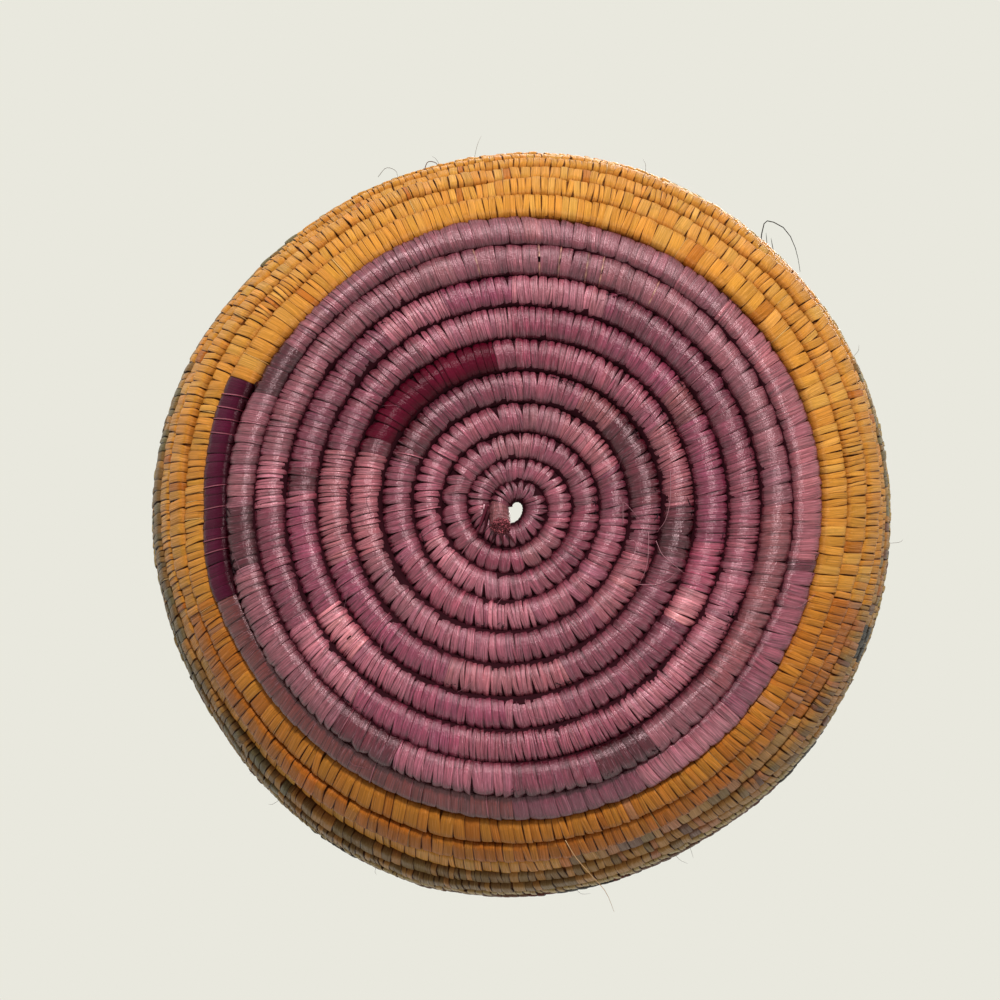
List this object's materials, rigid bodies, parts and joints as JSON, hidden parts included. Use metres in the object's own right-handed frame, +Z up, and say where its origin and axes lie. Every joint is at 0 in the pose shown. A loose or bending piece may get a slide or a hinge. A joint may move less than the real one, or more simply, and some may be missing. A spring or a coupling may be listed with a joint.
{
  "type": "coiled basket",
  "caption": "Open round bowl basket, coiled and sewn, with a flat dyed base, an orange shoulder band and a flaring wall that rises to a rolled rim.",
  "frame": {"origin": "on the ground under the middle of the base", "axes": "+Z up out of the mouth; +X towards the side where the coil starts, and the coil winds outward counter-clockwise seen from above"},
  "size_m": [0.2016, 0.2016, 0.0901],
  "materials": {
    "grass_bundle": "cut dyed grass stems, matt",
    "mauve_strand": "dyed leaf strand, soft sheen",
    "grey_mauve_strand": "faded dyed leaf strand, soft sheen",
    "rose_mauve_strand": "dyed leaf strand, soft sheen",
    "magenta_strand": "dyed leaf strand, soft sheen",
    "maroon_strand": "deep dyed leaf strand, glossy",
    "plum_strand": "deep dyed leaf strand, glossy",
    "orange_strand": "dyed leaf strand, satin",
    "khaki_strand": "undyed leaf strand, satin",
    "straw_strand": "undyed leaf strand, satin"
  },
  "bodies": {
    "root": {"bundle_start": "grass_bundle", "base_row_01": "mauve_strand", "base_row_02": "mauve_strand", "base_row_03": "rose_mauve_strand", "base_row_04": "mauve_strand", "base_row_05": "grey_mauve_strand", "maroon_run": "maroon_strand", "base_row_06": "magenta_strand", "base_row_07": "rose_mauve_strand", "base_row_08": "magenta_strand", "base_row_09": "grey_mauve_strand", "base_row_10": "mauve_strand", "plum_run": "plum_strand", "orange_row_01": "orange_strand", "orange_row_02": "orange_strand", "orange_row_03": "orange_strand", "wall_row_01": "straw_strand", "wall_row_02": "khaki_strand", "wall_row_03": "straw_strand", "wall_row_04": "khaki_strand", "wall_row_05": "straw_strand", "wall_row_06": "khaki_strand", "wall_row_07": "straw_strand", "wall_row_08": "khaki_strand", "rim_row": "orange_strand", "rim_tail": "orange_strand"}
  },
  "joints": []
}
